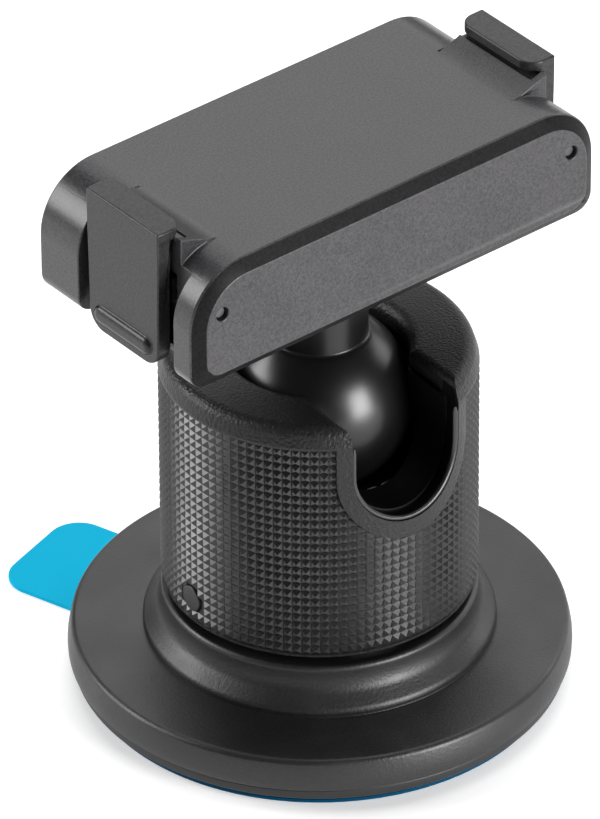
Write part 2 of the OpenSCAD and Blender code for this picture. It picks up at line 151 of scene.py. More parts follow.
def lathe(name, profile, steps=256):
    """A closed outline of (radius, height) points turned about Z."""
    verts, rings, faces = [], [], []
    for r, z in profile:
        if r < 1e-6:
            rings.append([len(verts)] * steps)
            verts.append((0, 0, z))
            continue
        rings.append(list(range(len(verts), len(verts) + steps)))
        for i in range(steps):
            a = 2 * math.pi * i / steps
            verts.append((r * math.cos(a), r * math.sin(a), z))
    for k in range(len(profile)):
        a, b = rings[k], rings[(k + 1) % len(profile)]
        for i in range(steps):
            j = (i + 1) % steps
            face = [a[i], a[j], b[j], b[i]]
            face = [v for m, v in enumerate(face) if v not in face[:m]]
            if len(face) > 2:
                faces.append(face)
    return new_object(name, verts, faces)


def apply_modifiers(obj):
    """Turns an object's modifiers into its mesh."""
    graph = bpy.context.evaluated_depsgraph_get()
    mesh = bpy.data.meshes.new_from_object(obj.evaluated_get(graph))
    old = obj.data
    obj.modifiers.clear()
    obj.data = mesh
    mesh.name = obj.name
    bpy.data.meshes.remove(old)


def carve(target, tool, operation="DIFFERENCE"):
    """Cuts, joins or intersects target with tool, and deletes the tool."""
    m = target.modifiers.new("boolean", "BOOLEAN")
    m.object = tool
    m.operation = operation
    m.solver = "EXACT"
    apply_modifiers(target)
    bpy.data.objects.remove(tool)
    return target


def cut_box(target, side, x_in, x_out, y_range, z_range):
    """Cuts a box out of target, on the +X or the -X side."""
    x0, x1 = sorted((side * x_in, side * x_out))
    y0, y1 = y_range
    carve(target, prism("cut", [(x0, y0), (x1, y0), (x1, y1), (x0, y1)], "z", *z_range))


def merge_flat(obj, seams, gap=0.004, angle=0.5):
    """Removes the short edges and, if asked, the flat seams that cutting leaves behind."""
    bm = bmesh.new()
    bm.from_mesh(obj.data)
    bmesh.ops.remove_doubles(bm, verts=bm.verts, dist=gap * MM)
    bmesh.ops.dissolve_degenerate(bm, edges=bm.edges, dist=gap * MM)
    if seams:
        bmesh.ops.dissolve_limit(bm, angle_limit=math.radians(angle), verts=bm.verts,
                                 edges=bm.edges)
    bm.to_mesh(obj.data)
    bm.free()


def soften(obj, width, segments=3, angle=25, smooth=35, seams=False):
    """Rounds an object's edges and shades it smoothly between them."""
    if width:
        merge_flat(obj, seams)
        m = obj.modifiers.new("bevel", "BEVEL")
        m.width = width * MM
        m.segments = segments
        m.limit_method = "ANGLE"
        m.angle_limit = math.radians(angle)
        m.use_clamp_overlap = False
        m.miter_outer = "MITER_ARC"
        apply_modifiers(obj)
    obj.data.polygons.foreach_set("use_smooth", [True] * len(obj.data.polygons))
    obj.data.set_sharp_from_angle(angle=math.radians(smooth))
    m = obj.modifiers.new("normals", "WEIGHTED_NORMAL")
    m.keep_sharp = True
    apply_modifiers(obj)
    return obj


def turn_z(obj, angle):
    """Turns an object's mesh about the collar's axis."""
    obj.data.transform(Matrix.Rotation(angle, 4, "Z"))
    return obj


def mirror_x(obj):
    """Mirrors an object's mesh from +X to -X."""
    obj.data.transform(Matrix.Scale(-1, 4, Vector((1, 0, 0))))
    obj.data.flip_normals()
    return obj


# ------------------------------------------------------------ materials


PATCH_MM = 6.0                       # size of the faint patches in a moulded surface


def node_material(name, color, rough, grain_mm, bump, mottle, metallic=0.0, rough_var=0.06,
                  specular=0.5, height_mm=0.02):
    """A plastic or metal whose colour, gloss and relief follow a fine grain and faint patches."""
    mat = bpy.data.materials.new(name)
    mat.use_nodes = True
    nodes, links = mat.node_tree.nodes, mat.node_tree.links
    shader = nodes["Principled BSDF"]
    shader.inputs["Metallic"].default_value = metallic
    shader.inputs["Specular IOR Level"].default_value = specular
    place = nodes.new("ShaderNodeTexCoord")
    scale = nodes.new("ShaderNodeVectorMath")
    scale.operation = "SCALE"
    scale.inputs["Scale"].default_value = 1 / MM
    links.new(place.outputs["Object"], scale.inputs[0])

    def noise(size_mm, detail):
        n = nodes.new("ShaderNodeTexNoise")
        n.inputs["Scale"].default_value = 1 / size_mm
        n.inputs["Detail"].default_value = detail
        links.new(scale.outputs["Vector"], n.inputs["Vector"])
        return n.outputs["Fac"]

    def spread(source, low, high):
        r = nodes.new("ShaderNodeMapRange")
        r.inputs["From Min"].default_value = 0.3
        r.inputs["From Max"].default_value = 0.7
        r.inputs["To Min"].default_value = low
        r.inputs["To Max"].default_value = high
        links.new(source, r.inputs["Value"])
        return r.outputs["Result"]

    patches = noise(PATCH_MM, 3)
    fine = noise(grain_mm, 2)
    # half of the colour's range comes from the grain, and a tenth from the patches
    blend = nodes.new("ShaderNodeMath")
    blend.operation = "MULTIPLY_ADD"
    blend.inputs[1].default_value = 0.5
    links.new(spread(fine, 0, 1), blend.inputs[0])
    links.new(spread(patches, 0.2, 0.3), blend.inputs[2])
    tint = nodes.new("ShaderNodeMix")
    tint.data_type = "RGBA"
    tint.inputs["A"].default_value = [c * (1 - mottle) for c in color] + [1]
    tint.inputs["B"].default_value = [c * (1 + mottle) for c in color] + [1]
    links.new(blend.outputs["Value"], tint.inputs["Factor"])
    links.new(tint.outputs["Result"], shader.inputs["Base Color"])
    links.new(spread(patches, rough - rough_var, rough + rough_var), shader.inputs["Roughness"])
    relief = nodes.new("ShaderNodeBump")
    relief.inputs["Strength"].default_value = bump
    relief.inputs["Distance"].default_value = height_mm * MM
    links.new(fine, relief.inputs["Height"])
    links.new(relief.outputs["Normal"], shader.inputs["Normal"])
    return mat


# name: colour, roughness, grain in millimetres, bump, mottle, then what differs from the usual
FINISHES = {
    "seat_plastic": ((0.0350, 0.0333, 0.0358), 0.31, 0.19, 0.8, 1.0,
                     {"specular": 0.44, "height_mm": 0.010, "rough_var": 0.02}),
    # a darker, duller copy of the seat's plastic: painted shade for the seat's bevel bands
    "bevel_painted_shade": ((0.0100, 0.0096, 0.0102), 0.48, 0.22, 0.3, 0.8,
                      {"specular": 0.07, "height_mm": 0.006}),
    "clip_plastic": ((0.0240, 0.0233, 0.0243), 0.30, 0.24, 0.6, 1.0,
                     {"specular": 0.28, "height_mm": 0.006, "rough_var": 0.02}),
    "cover_plastic": ((0.014, 0.014, 0.0145), 0.4, 0.18, 0.3, 0.10, {}),
    "collar_plastic": ((0.010, 0.010, 0.0104), 0.42, 0.26, 1.0, 0.8,
                       {"specular": 0.36, "height_mm": 0.09}),
    "knurl_plastic": ((0.007, 0.007, 0.0074), 0.34, 0.14, 0.3, 0.3,
                      {"specular": 0.62, "height_mm": 0.004}),
    "rim_plastic": ((0.016, 0.016, 0.0165), 0.3, 0.14, 0.3, 0.3,
                    {"specular": 0.6, "height_mm": 0.004}),
    # near black and dull: painted shade for the inside of the socket; its rim along the notch has the lighter
    # rim_plastic
    "core_plastic": ((0.0015, 0.0015, 0.0016), 0.5, 0.2, 0.3, 0.2,
                     {"specular": 0.15, "height_mm": 0.004}),
    "plug_plastic": ((0.012, 0.012, 0.0125), 0.4, 0.2, 0.3, 0.2,
                     {"specular": 0.45, "height_mm": 0.004}),
    "base_plastic": ((0.006, 0.006, 0.0063), 0.44, 0.26, 0.9, 0.9,
                     {"specular": 0.6, "height_mm": 0.026}),
    "plate_plastic": ((0.010, 0.010, 0.0104), 0.45, 0.2, 0.3, 0.10, {"height_mm": 0.005}),
    "stud_metal": ((0.003, 0.003, 0.0032), 0.31, 0.12, 0.3, 0.2,
                   {"height_mm": 0.004, "rough_var": 0.02}),
    "post_metal": ((0.10, 0.10, 0.105), 0.35, 0.1, 0.2, 0.08, {"metallic": 1.0}),
    # near black and dull: painted shade for the ball's seat inside the socket
    "seat_liner": ((0.0015, 0.0015, 0.0016), 0.6, 0.4, 0.2, 0.08, {"specular": 0.1}),
    "spring_steel": ((0.55, 0.55, 0.56), 0.3, 0.1, 0.2, 0.06, {"metallic": 1.0}),
    "fastener_steel": ((0.13, 0.13, 0.135), 0.42, 0.1, 0.2, 0.06, {"metallic": 1.0}),
    "magnet": ((0.65, 0.65, 0.66), 0.2, 0.2, 0.1, 0.04, {"metallic": 1.0}),
    # the adhesive's dark teal is the film's blue as it looks in shadow: painted shade
    "adhesive": ((0.0, 0.055, 0.11), 0.5, 0.3, 0.5, 0.08, {}),
    "release_film": ((0.0, 0.43, 0.68), 0.5, 0.5, 0.15, 0.04, {"specular": 0.05, "rough_var": 0.04}),
}
MATERIAL = {name: node_material(name, *finish[:5], **finish[5]) for name, finish in FINISHES.items()}


def blend_by(mat, position, low, high, inner_color, outer_color):
    """Grades a material's colour between two values of its radius or height, in millimetres."""
    nodes, links = mat.node_tree.nodes, mat.node_tree.links
    place = nodes.new("ShaderNodeTexCoord")
    if position == "radius":
        flat = nodes.new("ShaderNodeVectorMath")
        flat.operation = "MULTIPLY"
        flat.inputs[1].default_value = (1, 1, 0)
        links.new(place.outputs["Object"], flat.inputs[0])
        length = nodes.new("ShaderNodeVectorMath")
        length.operation = "LENGTH"
        links.new(flat.outputs["Vector"], length.inputs[0])
        source = length.outputs["Value"]
    else:
        split = nodes.new("ShaderNodeSeparateXYZ")
        links.new(place.outputs["Object"], split.inputs["Vector"])
        source = split.outputs["Z"]
    grade = nodes.new("ShaderNodeMapRange")
    grade.inputs["From Min"].default_value = low * MM
    grade.inputs["From Max"].default_value = high * MM
    links.new(source, grade.inputs["Value"])
    mix = nodes.new("ShaderNodeMix")
    mix.data_type = "RGBA"
    mix.inputs["A"].default_value = (*inner_color, 1)
    mix.inputs["B"].default_value = (*outer_color, 1)
    links.new(grade.outputs["Result"], mix.inputs["Factor"])
    links.new(mix.outputs["Result"], nodes["Principled BSDF"].inputs["Base Color"])


# the dark teal below is the film's blue darkened: painted shade on the film under the disc's edge and on the pad's
# lower band
PAINTED_SHADE_TEAL, FILM_BLUE, FOAM_GREY = (0.0, 0.05, 0.11), (0.0, 0.43, 0.68), (0.32, 0.27, 0.29)
disc_edge = -box_mm("release_liner")[0].y
foam_z = 0.66                        # height where the adhesive's pale foam begins
blend_by(MATERIAL["release_film"], "radius", disc_edge + 0.1, disc_edge + 0.9, PAINTED_SHADE_TEAL, FILM_BLUE)
blend_by(MATERIAL["adhesive"], "height", foam_z, foam_z + 0.03, PAINTED_SHADE_TEAL, FOAM_GREY)


def dress(obj, slot, body, *nodes, material=None):
    """Gives a piece its slot's material, or the one named, and says what it rides on and replaces."""
    obj.data.materials.clear()
    obj.data.materials.append(MATERIAL[material or slot])
    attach(obj, body)
    if nodes:
        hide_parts(*nodes)
    return obj


# ------------------------------------------------------------ base


def make_base():
    """The base disc with its ring, the plate under it and the adhesive."""
    profile = [(0, BASE_Z0), (BASE_R - 0.4, BASE_Z0)]
    # bellied side of the disc, then the tighter roll onto its flat top
    profile += arc(BASE_R - 0.4, BASE_Z0 + 0.3, 0.38, -80, -10, 5, ry=0.28)
    profile += [(BASE_R - inset, BASE_Z0 + height) for inset, height in ((0, 0.8), (0.02, 1.3), (0.12, 1.9))]
    profile += arc(BASE_R - 0.85, BASE_TOP - 0.6, 0.6, 16, 90, 12)
    profile += [(BASE_R - 1.6, BASE_TOP + 0.005)]
    # foot of the ring: a rounded step that flares gently into the wall
    step_r, step_x, ring_roll = 0.75, RING_R + 0.8, 0.42
    profile += [(step_x + step_r + 0.02, BASE_TOP)]
    profile += arc(step_x, BASE_TOP + 0.3, step_r, -12, 46, 12)
    profile += [(RING_R + out, BASE_TOP + height) for out, height in
                ((0.92, 1.22), (0.52, 1.61), (0.38, 1.77), (0.24, 2.0), (0.11, 2.34), (0, 2.9))]
    profile += [(RING_R, RING_TOP - 0.6)]
    profile += arc(RING_R - ring_roll, RING_TOP - ring_roll, ring_roll, 0, 90, 8)
    bore = box_mm("threaded_post")[1].x + 0.1
    bevel = 0.25
    profile += [(bore + bevel, RING_TOP), (bore, RING_TOP - bevel)]
    profile += [(bore, BASE_TOP + 0.05), (0, BASE_TOP + 0.05)]
    shell = soften(lathe("base_shell", profile, 360), 0, smooth=50)
    dress(shell, "base_plastic", "base", "base_disc")

    lo, hi = box_mm("lower_plate")
    edge = 0.2
    profile = [(0, lo.z), (hi.x - edge, lo.z)]
    profile += arc(hi.x - edge, lo.z + edge, edge, -90, 0, 5)
    profile += arc(hi.x - edge, hi.z - edge, edge, 0, 90, 5)
    profile += [(0, hi.z)]
    plate = soften(lathe("plate_body", profile, 300), 0, smooth=50)
    dress(plate, "plate_plastic", "base", "lower_plate")

    lo, hi = box_mm("adhesive_pad")
    bulge = 0.06
    profile = [(0, lo.z), (hi.x - bulge, lo.z)]
    half = (hi.z - lo.z) / 2
    profile += arc(hi.x - bulge, lo.z + half, bulge, -80, 80, 6, ry=half - 0.02)
    profile += [(hi.x - bulge, hi.z), (0, hi.z)]
    pad = soften(lathe("pad_body", profile, 300), 0, smooth=50)
    dress(pad, "adhesive", "base", "adhesive_pad")


def make_liner():
    """The release film: a disc that runs out into a pull tab."""
    lo, hi = box_mm("release_liner")
    disc_r = -lo.y
    tab_angle = math.radians(107.5)
    # the tab's reach from the axis, half its width, and its corner and root radii
    reach, half, corner, root = 29.7, 5.7, 2.8, 2.2
    # outline with the tab along +X, turned to its place afterwards
    start = math.degrees(math.asin((half + root) / (disc_r + root)))
    cx = (disc_r + root) * math.cos(math.radians(start))
    outline = arc(0, 0, disc_r, start, 360 - start, 220)
    outline += arc(cx, -half - root, root, 180 - start, 90, 8)
    outline += arc(reach - corner, -half + corner, corner, -90, 0, 12)
    outline += arc(reach - corner, half - corner, corner, 0, 90, 12)
    outline += arc(cx, half + root, root, 270, 180 + start, 8)
    film = prism("film_body", outline, "z", lo.z, hi.z)
    soften(film, 0.08, 2, angle=50, smooth=40)
    turn_z(film, tab_angle)
    dress(film, "release_film", "base", "release_liner")


# ------------------------------------------------------------ collar

NOTCH_HALF = 5.0
NOTCH_FLOOR = BALL_Z + 0.5           # height of the notch's round centre
RIM = 0.42                           # width of the core's rim round the notch
FLARE = 0.9                          # roll of the notch's top corners
BORDER_X = NOTCH_HALF + 1.65         # reach of the smooth border beside the notch
BORDER_Z = 7.05                      # and under it
OPENING_R = 7.6                      # opening over the ball
COLLAR_BORE = CORE_R + 0.03
KNURL_Z0, KNURL_Z1 = COLLAR_Z0 + 0.32, COLLAR_Z1 - 1.88
KNURL_COLS, KNURL_ROWS = 106, 26
KNURL_VALLEY = COLLAR_R - 0.27
plug_lo, plug_hi = box_mm("screw_plug")
PLUG_R = (plug_hi.z - plug_lo.z) / 2 + 0.05
PLUG_Z = (plug_hi.z + plug_lo.z) / 2


def notch_outline(half, top):
    """U-shaped outline, seen along Y, with its top corners rolled outward."""
    points = arc(0, NOTCH_FLOOR, half, 180, 360, 48)
    points += arc(half + FLARE, COLLAR_Z1 - FLARE, FLARE, 180, 90, 12)
    points += [(half + FLARE + 0.02, top), (-half - FLARE - 0.02, top)]
    points += arc(-half - FLARE, COLLAR_Z1 - FLARE, FLARE, 90, 0, 12)
    return points


def notch_tool(half):
    """Cutter for the notch, through the collar's -Y side."""
    return prism("notch_tool", notch_outline(half, COLLAR_Z1 + 2), "y", -COLLAR_R - 2, 0)


def make_collar():
    """The grip sleeve, smooth round the notch and on top, with its wall hidden under the knurl."""
    wall = KNURL_VALLEY - 0.05
    band_top_r = COLLAR_R - 1.0
    foot, roll = 0.15, 1.1           # roundings of the lower edge and of the opening's edge
    profile = [(COLLAR_BORE, CORE_TOP), (COLLAR_BORE, COLLAR_Z0 + foot), (COLLAR_BORE + foot, COLLAR_Z0)]
    profile += arc(COLLAR_R - 0.27, COLLAR_Z0 + foot, foot, -90, 0, 4)
    profile += [(COLLAR_R - 0.12, KNURL_Z0 - 0.05), (wall, KNURL_Z0 + 0.05)]
    profile += [(wall, KNURL_Z1 - 0.06), (COLLAR_R - 0.02, KNURL_Z1)]
    profile += arc(COLLAR_R - 0.22, KNURL_Z1 + 0.18, 0.2, 0, 25, 3)
    profile += arc(band_top_r - 0.45, COLLAR_Z1 - roll, 1.2, 18, 90, 12, ry=roll)
    profile += arc(OPENING_R + roll, COLLAR_Z1 - roll, roll, 90, 180, 8)
    profile += [(OPENING_R, CORE_TOP)]
    body = lathe("collar_body", profile, 320)

    # smooth border round the notch
    low, high = NOTCH_FLOOR - 9, KNURL_Z1 + 0.03
    border_in, border_out = COLLAR_BORE + 0.2, COLLAR_R - 0.015
    border = lathe("border", [(border_in, low), (border_out, low), (border_out, high),
                              (border_in, high)], 320)
    outer = arc(0, NOTCH_FLOOR, BORDER_X, 180, 360, 60, ry=BORDER_Z)
    outer += [(BORDER_X, COLLAR_Z1 + 2), (-BORDER_X, COLLAR_Z1 + 2)]
    carve(border, prism("cut", outer, "y", -COLLAR_R - 2, 0), "INTERSECT")
    carve(body, border, "UNION")
    carve(body, notch_tool(NOTCH_HALF + RIM))
    hole = arc(0, PLUG_Z, PLUG_R, 0, 354, 59)
    carve(body, prism("hole", hole, "x", -COLLAR_R - 2, -COLLAR_BORE + 1))
    soften(body, 0, smooth=40)
    turn_z(body, COLLAR_TURN)
    dress(body, "collar_plastic", "collar", "grip_sleeve")


def on_smooth_part(angle, z):
    """Whether a pyramid centred there would lie on the notch's border or on the plug."""
    x, y = COLLAR_R * math.cos(angle), COLLAR_R * math.sin(angle)
    drop = z - NOTCH_FLOOR
    reach_x, reach_z = BORDER_X - 0.05, BORDER_Z - 0.05
    on_notch = y < 0 and abs(x) < reach_x and (drop > 0 or math.hypot(x / reach_x, drop / reach_z) < 1)
    return on_notch or (x < 0 and math.hypot(y, z - PLUG_Z) < PLUG_R + 0.12)


def make_knurl():
    """Rows and columns of small pyramids with worn tips, each a closed solid."""
    verts, faces = [], []
    pitch_a = 2 * math.pi / KNURL_COLS
    pitch_z = (KNURL_Z1 - KNURL_Z0 - 0.1) / KNURL_ROWS
    root_r, tip_r = KNURL_VALLEY - 0.1, COLLAR_R - 0.01
    flat = 0.06                      # half width of a pyramid's worn tip

    def add(r, a, z):
        verts.append((r * math.cos(a), r * math.sin(a), z))

    for i in range(KNURL_COLS):
        a = -math.pi + i * pitch_a
        for k in range(KNURL_ROWS):
            z = KNURL_Z0 + 0.05 + k * pitch_z
            mid_a, mid_z = a + pitch_a / 2, z + pitch_z / 2
            if on_smooth_part(mid_a, mid_z):
                continue
            n = len(verts)
            corners = ((a, z), (a + pitch_a, z), (a + pitch_a, z + pitch_z), (a, z + pitch_z))
            for r in (KNURL_VALLEY, root_r):
                for corner_a, corner_z in corners:
                    add(r, corner_a, corner_z)
            for da, dz in ((-1, -1), (1, -1), (1, 1), (-1, 1)):
                add(tip_r, mid_a + da * flat / COLLAR_R, mid_z + dz * flat)
            for m in range(4):
                w = (m + 1) % 4
                faces.append([n + m, n + w, n + 8 + w, n + 8 + m])
                faces.append([n + 4 + m, n + 4 + w, n + w, n + m])
            faces.append([n + 8, n + 9, n + 10, n + 11])
            faces.append([n + 4, n + 7, n + 6, n + 5])
    mesh = bpy.data.meshes.new("collar_knurl")
    mesh.from_pydata([Vector(v) * MM for v in verts], [], faces)
    knurl = bpy.data.objects.new("collar_knurl", mesh)
    bpy.context.scene.collection.objects.link(knurl)
    turn_z(knurl, COLLAR_TURN)
    dress(knurl, "collar_plastic", "collar", material="knurl_plastic")


def make_plug():
    """The plug over the stop screw, its face a little below the knurl's tips."""
    face_x, r = COLLAR_R - 0.12, PLUG_R - 0.07

    def ring(radius, x):
        turns = [2 * math.pi * i / 64 for i in range(64)]
        return [(-x, radius * math.cos(t), PLUG_Z + radius * math.sin(t)) for t in turns]

    plug = loft("plug_body", [ring(r, COLLAR_BORE), ring(r, face_x - 0.12), ring(r - 0.04, face_x - 0.04),
                              ring(r - 0.13, face_x)])
    soften(plug, 0, smooth=60)
    turn_z(plug, COLLAR_TURN)
    dress(plug, "core_plastic", "collar", "screw_plug", material="plug_plastic")


def make_rim():
    """Rounded lip of the inner sleeve that shows along the notch's edge."""
    bead = RIM / 2
    half = NOTCH_HALF + bead - 0.02
    top = KNURL_Z1 - 0.15
    path = [(-half, top - (top - NOTCH_FLOOR) * i / 6) for i in range(6)]
    path += arc(0, NOTCH_FLOOR, half, 180, 360, 56)
    path += [(half, NOTCH_FLOOR + (top - NOTCH_FLOOR) * i / 6) for i in range(1, 7)]
    rings = []
    for k, (x, z) in enumerate(path):
        x0, z0 = path[max(0, k - 1)]
        x1, z1 = path[min(len(path) - 1, k + 1)]
        along = Vector((x1 - x0, 0, z1 - z0)).normalized()
        across = Vector((-along.z, 0, along.x))
        out = Vector((x, -math.sqrt((COLLAR_R - 0.05 - bead) ** 2 - x * x), 0))
        centre = Vector((x, out.y, z))
        out.normalize()
        size = bead if 0 < k < len(path) - 1 else bead * 0.4
        ring = [centre + (across * math.cos(t) + out * math.sin(t)) * size
                for t in [2 * math.pi * i / 14 for i in range(14)]]
        rings.append([tuple(v) for v in ring])
    rim = soften(loft("rim_lip", rings), 0, smooth=60)
    turn_z(rim, COLLAR_TURN)
    dress(rim, "core_plastic", "collar", material="rim_plastic")


def make_core():
    """The inner sleeve: its socket over the ball, and the lining of the notch."""
    socket = BALL_R + 0.08
    waist, bore = 8.5, 9.9           # bores beside the ball seat and round the post's thread
    relief_r, relief_z = bore - 0.6, 21.0
    bevel = 0.2
    lip_angle = math.degrees(math.acos(OPENING_R / socket))
    profile = [(CORE_R, CORE_Z0 + bevel), (CORE_R, CORE_TOP), (OPENING_R + 0.05, CORE_TOP)]
    profile += arc(0, BALL_Z, socket, lip_angle, 2, 24)
    profile += [(waist, BALL_Z), (waist, BALL_Z - 4.5), (relief_r, BALL_Z - 4.6)]
    profile += [(relief_r, relief_z), (bore, relief_z - 0.1)]
    profile += [(bore, CORE_Z0 + bevel), (bore + bevel, CORE_Z0), (CORE_R - bevel, CORE_Z0)]
    core = lathe("core_body", profile, 256)
    # rim that comes out through the sleeve's notch
    rim_in, rim_out = CORE_R - 0.5, COLLAR_R - 0.3
    rim_low, rim_high = NOTCH_FLOOR - 6, COLLAR_Z1 - 0.55
    rim = lathe("rim", [(rim_in, rim_low), (rim_out, rim_low), (rim_out, KNURL_Z1 - 0.1),
                        (COLLAR_R - 0.75, rim_high), (rim_in, rim_high)], 256)
    reach = NOTCH_HALF + RIM - 0.06
    shape = prism("cut", notch_outline(reach, COLLAR_Z1), "y", -COLLAR_R - 2, 0)
    carve(rim, shape, "INTERSECT")
    carve(core, rim, "UNION")
    carve(core, notch_tool(NOTCH_HALF))
    soften(core, 0.12, 2, angle=38, smooth=30)
    turn_z(core, COLLAR_TURN)
    # the core's near-black, dull material is painted shade for the socket's inside
    dress(core, "core_plastic", "collar", "clamp_core")


# ------------------------------------------------------------ ball and neck


def make_stud():
    """The ball, the chamfer at its neck's foot, and the neck."""
    hi = box_mm("ball_stud")[1]
    neck, spigot = 4.2, 3.0          # radii of the neck and of the spigot in the seat
    foot_r = 4.42                    # where the ball meets the neck's chamfer
    foot_z = BALL_Z + math.sqrt(BALL_R ** 2 - foot_r ** 2)
    shoulder = SEAT_Z - 0.05
    meet = math.degrees(math.acos(foot_r / BALL_R))
    profile = arc(0, BALL_Z, BALL_R, -90, meet, 72)
    profile += [(foot_r - 0.06, foot_z + 0.02), (neck + 0.03, foot_z + 0.17), (neck, foot_z + 0.24)]
    profile += [(neck, shoulder - 0.3), (neck - 0.3, shoulder)]
    profile += [(spigot, shoulder), (spigot, hi.z), (0, hi.z)]
    stud = soften(lathe("stud_body", profile, 200), 0, smooth=40)
    dress(stud, "stud_metal", "stud", "ball_stud")


# ------------------------------------------------------------ seat


def seat_ring(y, inset, lift):
    """Side outline of the seat at one y; inset draws its ends and top in, lift its bottom up."""
    top_r, foot_r = 5.5 - inset, 1.6
    x, top, bottom = SEAT_X - inset, SEAT_TOP - inset, SEAT_Z + lift
    points = arc(x - foot_r, bottom + foot_r, foot_r, -90, 0, 10)
    points += arc(x - top_r, top - top_r, top_r, 0, 90, 28)
    points += arc(-x + top_r, top - top_r, top_r, 90, 180, 28)
    points += arc(-x + foot_r, bottom + foot_r, foot_r, 180, 270, 10)
    return [(u, y, v) for u, v in points]


SLOT_X, SLOT_Y = 19.45, (-7.6, 4.8)  # inner wall of a clip's slot, and its two sides
RAMP_X, RAMP_Y = 16.1, (-6.3, 3.5)   # foot of a ramp, and its two ends


def make_ramp(shell, side):
    """Adds the ramp beside a clip: a slope with a soft hollow at its foot."""
    rise, run = RAMP_TOP - SEAT_TOP, SLOT_X - RAMP_X
    root = SEAT_TOP - 3
    wedge = [(side * (RAMP_X - 0.6), root), (side * (SLOT_X + 0.3), root), (side * (SLOT_X + 0.3), RAMP_TOP)]
    for x, h in ((1, 1), (0.3, 0.3), (0.2, 0.205), (0.1, 0.125), (0, 0.06), (-0.09, 0.02), (-0.18, 0)):
        wedge.append((side * (RAMP_X + x * run), SEAT_TOP + h * rise))
    carve(shell, prism("wedge", wedge, "y", *RAMP_Y), "UNION")


def cut_clip_space(shell, side):
    """Cuts the room for a clip: its slot, lip relief, hinge pocket, mouth and pin hole."""
    below, above = SEAT_Z - 2, RAMP_TOP + 2
    relief_half, pocket_half = 4.9, 4.95
    relief_y = (CLIP_MID_Y - relief_half, CLIP_MID_Y + relief_half)
    pocket_y = (CLIP_MID_Y - pocket_half, CLIP_MID_Y + pocket_half)
    cut_box(shell, side, SLOT_X, SEAT_X + 3, SLOT_Y, (below, above))
    cut_box(shell, side, 18.3, SLOT_X + 1, relief_y, (SEAT_TOP + 0.6, above))
    cut_box(shell, side, 16.8, SLOT_X + 1, pocket_y, (SEAT_Z + 0.8, 51.0))
    cut_box(shell, side, 18.8, SLOT_X + 1, pocket_y, (below, SEAT_Z + 1.5))
    pin_hole = arc(side * PIN_X, PIN_Z, PIN_R + 0.17, 0, 350, 35)
    carve(shell, prism("pin_hole", pin_hole, "y", -SEAT_Y - 2, SEAT_Y + 2))


def make_seat():
    """The seat's housing, bevelled beside both long faces and cut for the clips."""
    bevel_w, bevel_in, foot_lift = 0.76, 1.2, 1.08
    inner = SEAT_Y - bevel_w
    shell = loft("seat_shell", [seat_ring(-SEAT_Y, bevel_in, foot_lift), seat_ring(-inner, 0, 0),
                                seat_ring(inner, 0, 0), seat_ring(SEAT_Y, bevel_in, foot_lift)])
    for side in (-1, 1):
        make_ramp(shell, side)
    for side in (-1, 1):
        cut_clip_space(shell, side)
    # recess for the cover underneath
    cover_hi = box_mm("bottom_cover")[1]
    gap = 0.1
    cx, cy, r = cover_hi.x + gap, cover_hi.y + gap, 1.5
    recess = arc(cx - r, cy - r, r, 0, 90, 8) + arc(-cx + r, cy - r, r, 90, 180, 8)
    recess += arc(-cx + r, -cy + r, r, 180, 270, 8) + arc(cx - r, -cy + r, r, 270, 360, 8)
    carve(shell, prism("recess", recess, "z", SEAT_Z - 2, SEAT_TOP - 1.0))
    soften(shell, 0.13, 3, angle=26, smooth=32, seams=True)
    dress(shell, "seat_plastic", "seat", "seat_housing")
    # the bevels beside both long faces get a darker, duller copy of the seat's plastic: painted shade for the dark
    # band they show
    shell.data.materials.append(MATERIAL["bevel_painted_shade"])
    for face in shell.data.polygons:
        if 0.74 < abs(face.normal.y) < 0.93 and abs(face.center.y) > inner * MM:
            face.material_index = 1


# ------------------------------------------------------------ clips


